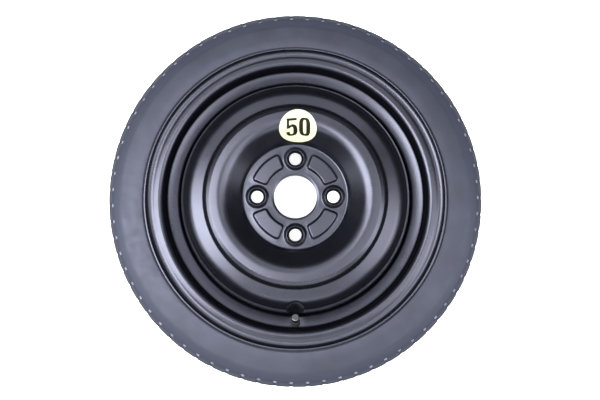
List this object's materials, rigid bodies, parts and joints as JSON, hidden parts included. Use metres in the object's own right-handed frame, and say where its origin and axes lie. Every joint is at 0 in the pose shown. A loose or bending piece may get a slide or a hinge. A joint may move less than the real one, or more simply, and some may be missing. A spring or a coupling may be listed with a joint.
{
  "type": "space saver spare wheel",
  "caption": "Narrow temporary spare wheel: a pressed steel disc with a raised crest and a bolt ring, welded into a rolled rim, with a narrow tyre and a snap-in valve.",
  "frame": {"origin": "centre of the bore on the disc's mounting face", "axes": "+Z along the wheel's axis, towards its outboard side; +Y towards the round label, which is turned 2.2 degrees from it; the valve is at -Y"},
  "size_m": [0.5024, 0.5024, 0.139],
  "materials": {
    "tyre": "matt black rubber",
    "rim_paint": "satin black paint",
    "disc_paint": "satin black paint",
    "weld": "painted weld",
    "label": "pale yellow vinyl",
    "valve_rubber": "black rubber",
    "stem_brass": "turned",
    "core_brass": "turned",
    "plug_brass": "turned",
    "gasket": "red rubber",
    "pin_brass": "drawn",
    "cup_brass": "pressed",
    "washer": "black rubber",
    "spring_steel": "wire",
    "cap_metal": "knurled, dull",
    "cap_rubber": "black rubber"
  },
  "bodies": {
    "wheel": {"tyre": "tyre", "rim": "rim_paint", "disc": "disc_paint", "weld_beads": "weld", "label": "label", "valve_rubber": "valve_rubber", "valve_stem": "stem_brass", "core_barrel": "core_brass", "core_plug": "plug_brass", "core_gasket": "gasket", "core_spring": "spring_steel"},
    "pin": {"core_pin": "pin_brass", "core_cup": "cup_brass", "core_washer": "washer"},
    "cap": {"valve_cap": "cap_metal", "cap_seal": "cap_rubber"}
  },
  "joints": [
    {"name": "cap_lift", "type": "slide", "parent": "wheel", "child": "cap", "axis": [0, 0.4067, 0.9135], "range_m": [0, 0.014]},
    {"name": "pin_press", "type": "slide", "parent": "wheel", "child": "pin", "axis": [0, -0.4067, -0.9135], "range_m": [0, 0.0012], "stiffness_N_per_m": 900, "springref_m": -0.0006, "deforming": ["core_spring"]}
  ]
}
